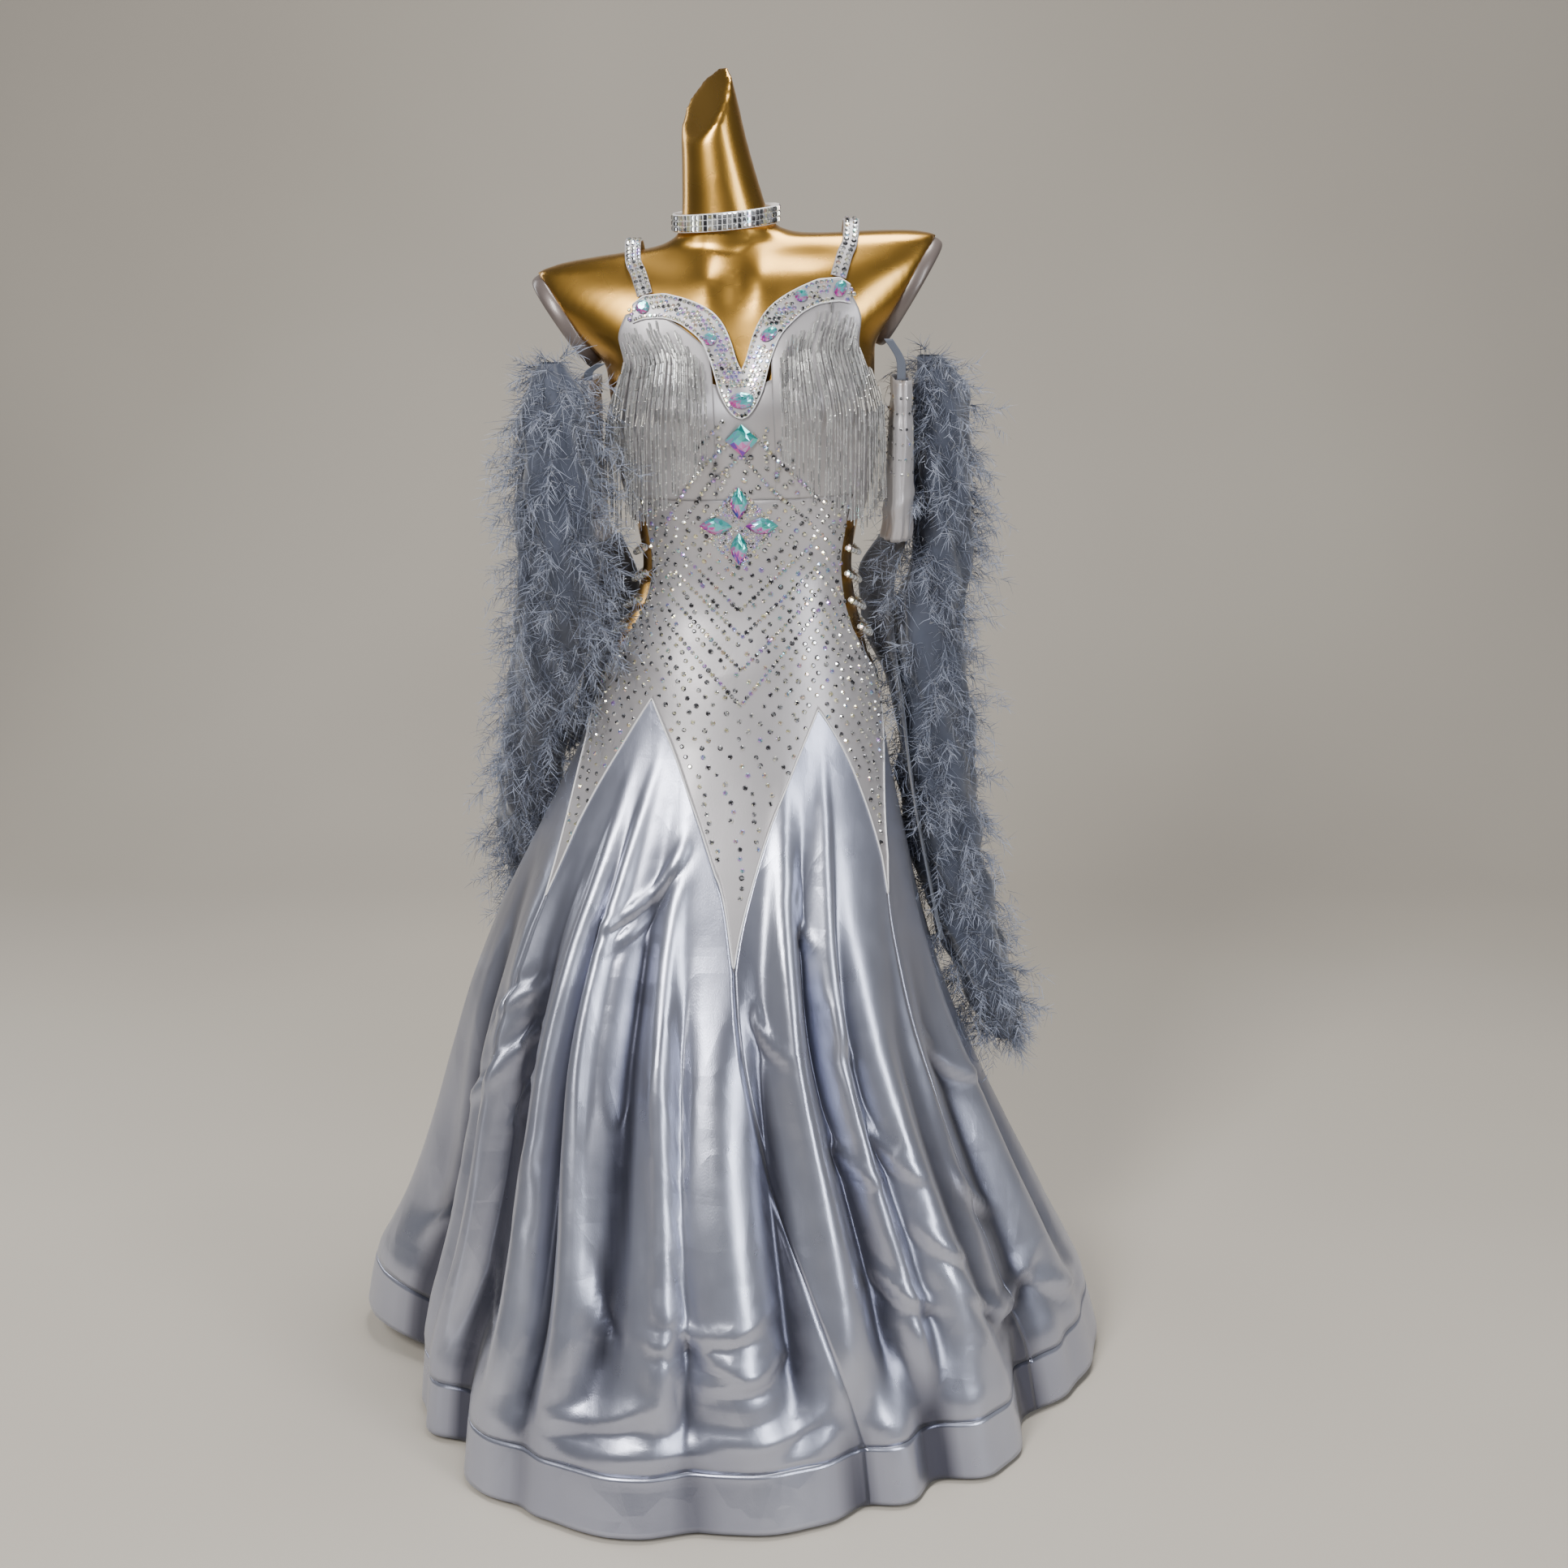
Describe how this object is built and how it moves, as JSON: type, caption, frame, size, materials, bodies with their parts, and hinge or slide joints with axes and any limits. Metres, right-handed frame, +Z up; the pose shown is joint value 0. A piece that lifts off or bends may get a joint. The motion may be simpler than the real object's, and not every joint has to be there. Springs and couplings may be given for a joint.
{
  "type": "ballroom dance dress on a dress form",
  "caption": "Grey satin ballroom dance dress with bead fringe, crystal stones, a godet skirt and feather-trimmed sleeves, standing on a gold limbless dress form with a round base.",
  "frame": {"origin": "centre of the base plate's underside, on the surface the dress form stands on", "axes": "+Z up along the pole, -Y towards the front of the dress, +X towards the right of someone who looks at its front"},
  "size_m": [0.9738, 0.9344, 1.6074],
  "materials": {
    "gold_form": "satin metallic gold lacquer on a moulded shell",
    "dark_plate": "smooth taupe end plates",
    "steel": "brushed stand",
    "stretch_satin": "soft stretch satin set with small stones",
    "skirt_satin": "glossy blue-grey satin",
    "stoned_band": "satin band covered with small crystals",
    "slate_cloth": "matt slate cloth",
    "feathers": "fluffy slate-blue feather trim",
    "bugle_beads": "silver-lined clear bugle beads on threads",
    "clear_beads": "clear tubular beads on straps",
    "crystal": "faceted crystals with a rainbow coating"
  },
  "bodies": {
    "root": {"form_torso": "gold_form", "form_neck": "gold_form", "arm_plate_left": "dark_plate", "arm_plate_right": "dark_plate", "pole": "steel", "base_plate": "steel", "front_panel": "stretch_satin", "back_panel": "stretch_satin", "centre_gore": "stretch_satin", "cup_left": "stretch_satin", "cup_right": "stretch_satin", "wing_left": "stretch_satin", "wing_right": "stretch_satin", "sleeve_left": "stretch_satin", "sleeve_right": "stretch_satin", "godet_front_left": "skirt_satin", "godet_front_right": "skirt_satin", "godet_side_left": "skirt_satin", "godet_side_right": "skirt_satin", "godet_back_left": "skirt_satin", "godet_back_right": "skirt_satin", "hem_front_left": "skirt_satin", "hem_front_right": "skirt_satin", "hem_side_left": "skirt_satin", "hem_side_right": "skirt_satin", "hem_back_left": "skirt_satin", "hem_back_right": "skirt_satin", "neckline_band": "stoned_band", "strap_left": "stoned_band", "strap_right": "stoned_band", "neck_band": "stoned_band", "sleeve_hanger_left": "slate_cloth", "sleeve_hanger_right": "slate_cloth", "float_left": "slate_cloth", "float_right": "slate_cloth", "feather_trim_left": "feathers", "feather_trim_right": "feathers", "fringe_left": "bugle_beads", "fringe_right": "bugle_beads", "waist_strap_left_1": "clear_beads", "waist_strap_left_2": "clear_beads", "waist_strap_left_3": "clear_beads", "waist_strap_left_4": "clear_beads", "waist_strap_right_1": "clear_beads", "waist_strap_right_2": "clear_beads", "waist_strap_right_3": "clear_beads", "waist_strap_right_4": "clear_beads", "square_stone": "crystal", "cross_stone_top": "crystal", "cross_stone_bottom": "crystal", "cross_stone_left": "crystal", "cross_stone_right": "crystal", "band_stone_tongue": "crystal", "band_stone_left_inner": "crystal", "band_stone_left_outer": "crystal", "band_stone_right_inner": "crystal", "band_stone_right_middle": "crystal", "band_stone_right_outer": "crystal"}
  },
  "joints": []
}
